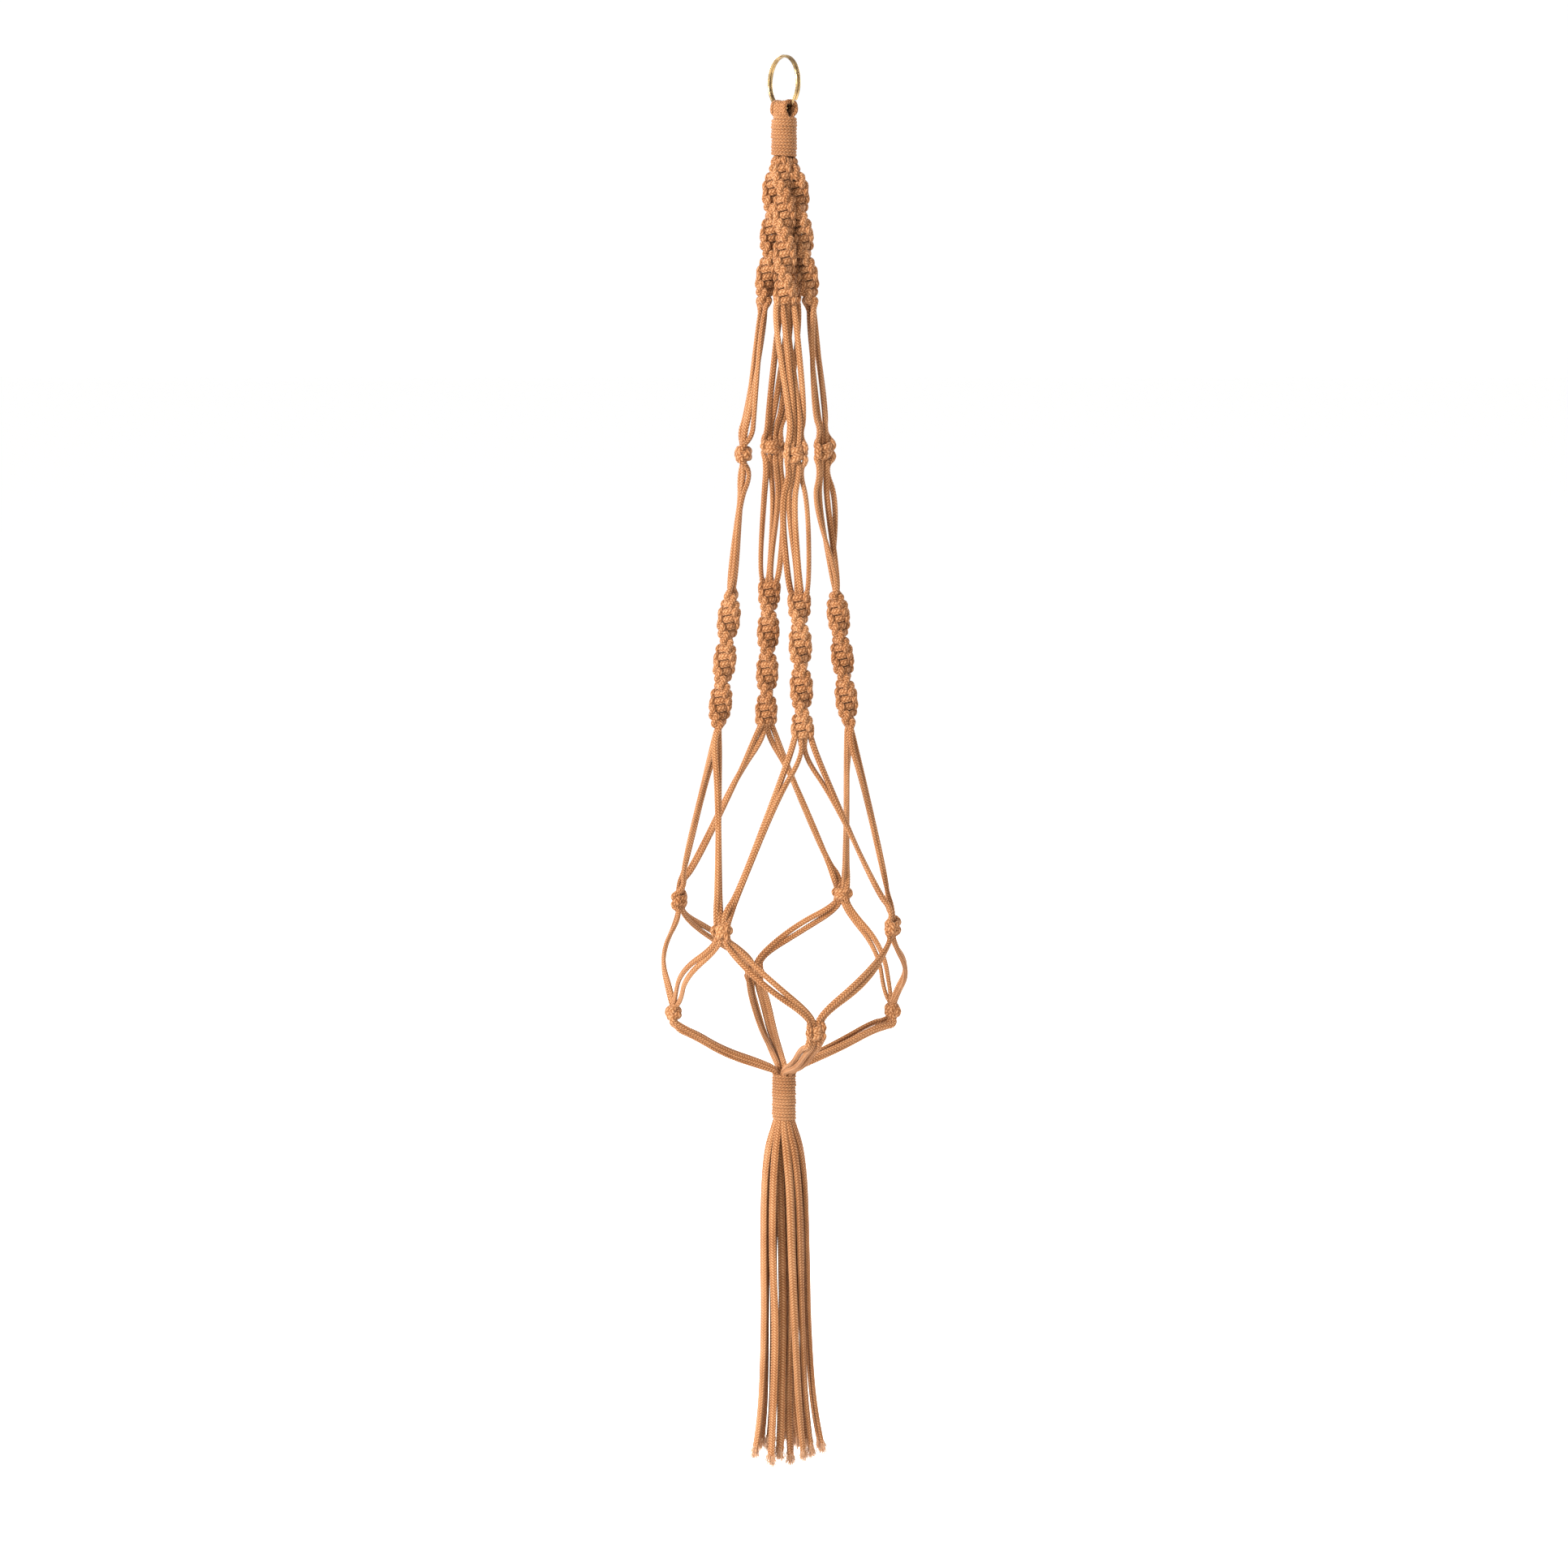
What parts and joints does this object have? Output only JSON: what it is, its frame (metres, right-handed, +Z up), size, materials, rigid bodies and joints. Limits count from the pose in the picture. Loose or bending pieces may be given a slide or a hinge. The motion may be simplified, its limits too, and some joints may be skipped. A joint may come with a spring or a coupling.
{
  "type": "hanging planter",
  "caption": "Knotted cotton cord hanger that holds a plant pot: a metal ring, spiral knotted arms, a netted cradle, a wrapped gather and a frayed tassel.",
  "frame": {"origin": "inner top of the ring, where the hook bears", "axes": "+Z up along the hanging planter; the viewing side is -Y; +X to the right of it"},
  "size_m": [0.1868, 0.1868, 1.043],
  "materials": {
    "cotton_cord": "matte braided cotton",
    "ring_brass": "antique brass, satin"
  },
  "bodies": {
    "ring": {"hanging_ring": "ring_brass"},
    "harness": {"cord_loops": "cotton_cord", "top_wrap": "cotton_cord", "upper_sinnet_right": "cotton_cord", "upper_strands_right": "cotton_cord", "middle_knot_right": "cotton_cord", "middle_strands_right": "cotton_cord", "lower_sinnet_right": "cotton_cord", "cradle_strands_right": "cotton_cord", "base_knot_right": "cotton_cord", "gather_strands_right": "cotton_cord", "upper_sinnet_back": "cotton_cord", "upper_strands_back": "cotton_cord", "middle_knot_back": "cotton_cord", "middle_strands_back": "cotton_cord", "lower_sinnet_back": "cotton_cord", "cradle_strands_back": "cotton_cord", "base_knot_back": "cotton_cord", "gather_strands_back": "cotton_cord", "upper_sinnet_left": "cotton_cord", "upper_strands_left": "cotton_cord", "middle_knot_left": "cotton_cord", "middle_strands_left": "cotton_cord", "lower_sinnet_left": "cotton_cord", "cradle_strands_left": "cotton_cord", "base_knot_left": "cotton_cord", "gather_strands_left": "cotton_cord", "upper_sinnet_front": "cotton_cord", "upper_strands_front": "cotton_cord", "middle_knot_front": "cotton_cord", "middle_strands_front": "cotton_cord", "lower_sinnet_front": "cotton_cord", "cradle_strands_front": "cotton_cord", "base_knot_front": "cotton_cord", "gather_strands_front": "cotton_cord", "cradle_knot_right_back": "cotton_cord", "net_strands_right_back": "cotton_cord", "cradle_knot_left_back": "cotton_cord", "net_strands_left_back": "cotton_cord", "cradle_knot_left_front": "cotton_cord", "net_strands_left_front": "cotton_cord", "cradle_knot_right_front": "cotton_cord", "net_strands_right_front": "cotton_cord"},
    "gather_wrap": {"bottom_wrap": "cotton_cord"},
    "tassel": {"tassel_strand_01": "cotton_cord", "tassel_strand_02": "cotton_cord", "tassel_strand_03": "cotton_cord", "tassel_strand_04": "cotton_cord", "tassel_strand_05": "cotton_cord", "tassel_strand_06": "cotton_cord", "tassel_strand_07": "cotton_cord", "tassel_strand_08": "cotton_cord", "tassel_strand_09": "cotton_cord", "tassel_strand_10": "cotton_cord", "tassel_strand_11": "cotton_cord", "tassel_strand_12": "cotton_cord", "tassel_strand_13": "cotton_cord", "tassel_strand_14": "cotton_cord", "tassel_strand_15": "cotton_cord", "tassel_strand_16": "cotton_cord"}
  },
  "joints": [
    {"name": "ring_tilt", "type": "hinge", "parent": "ring", "child": "harness", "pos_m": [0, 0, -0.03555], "axis": [0.5446, -0.8387, 0], "range_deg": [-90, 90]},
    {"name": "gather_swing", "type": "hinge", "parent": "harness", "child": "gather_wrap", "pos_m": [0, 0, -0.7378], "axis": [1, 0, 0], "range_deg": [-35, 35]},
    {"name": "tassel_swing", "type": "hinge", "parent": "gather_wrap", "child": "tassel", "pos_m": [0, 0, -0.7758], "axis": [0, 1, 0], "range_deg": [-30, 30]}
  ]
}
